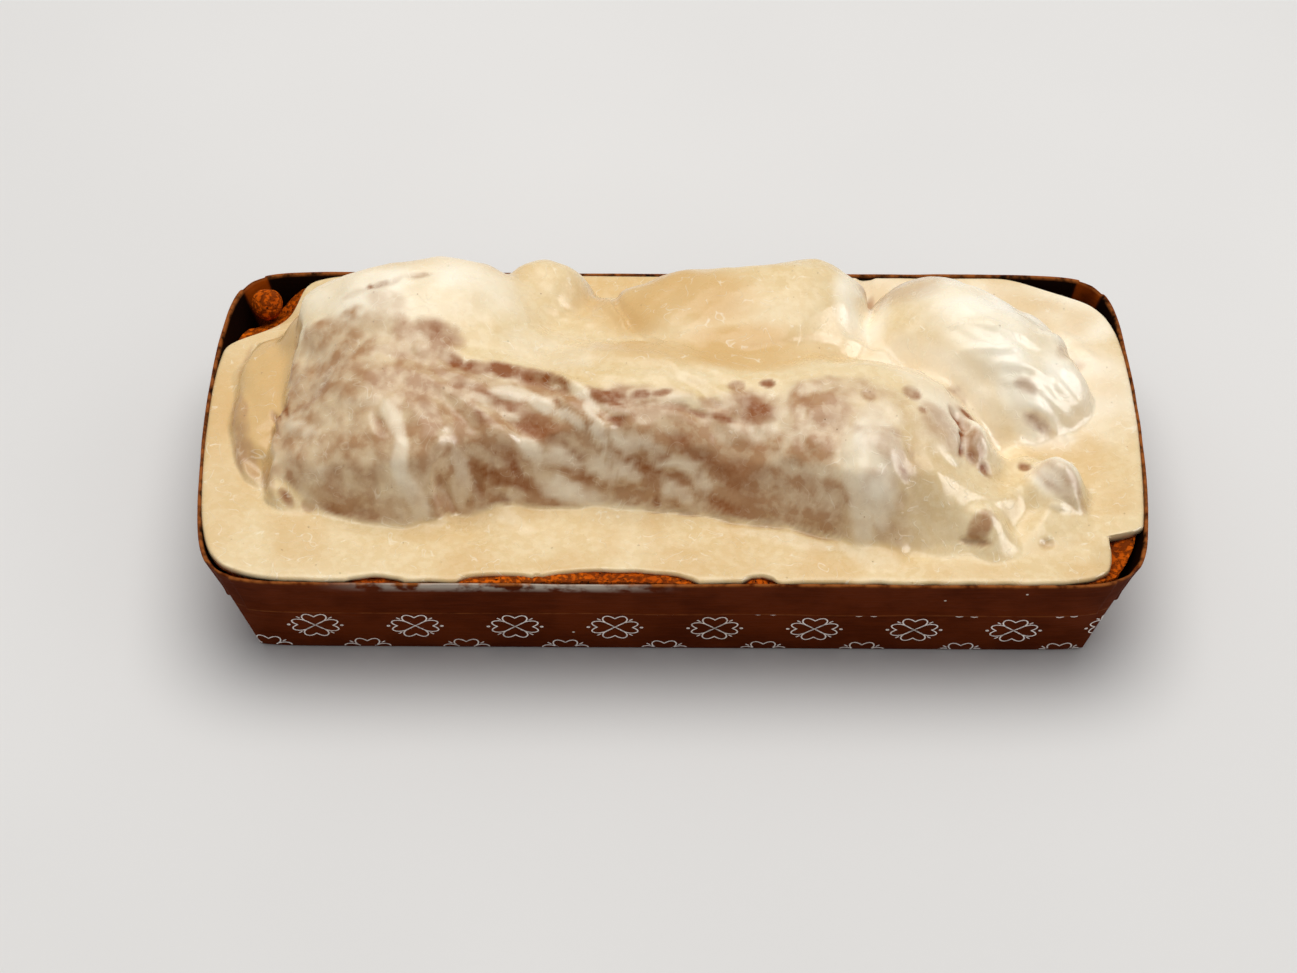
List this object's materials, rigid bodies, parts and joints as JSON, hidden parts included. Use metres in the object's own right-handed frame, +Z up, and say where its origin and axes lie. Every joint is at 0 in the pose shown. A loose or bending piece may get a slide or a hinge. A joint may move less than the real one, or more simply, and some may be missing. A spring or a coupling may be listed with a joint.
{
  "type": "vanilla loaf cake in a paper case",
  "caption": "Loaf cake with an uneven risen crown under pale icing, in a flared brown paper baking case with a folded hem.",
  "frame": {"origin": "middle of the paper case's flat base, on the surface that the cake stands on", "axes": "+X along the loaf to the right as it is seen from the front, +Y to the back, +Z up"},
  "size_m": [0.2372, 0.112, 0.0648],
  "materials": {
    "case_paper": "dull brown baking paper, printed with a pale ornament",
    "crust": "matt golden brown crust, finely pitted",
    "icing": "satin cream icing, thin enough on the slopes for the crust to show through"
  },
  "bodies": {
    "root": {"paper_case": "case_paper", "cake": "crust", "icing": "icing"}
  },
  "joints": []
}
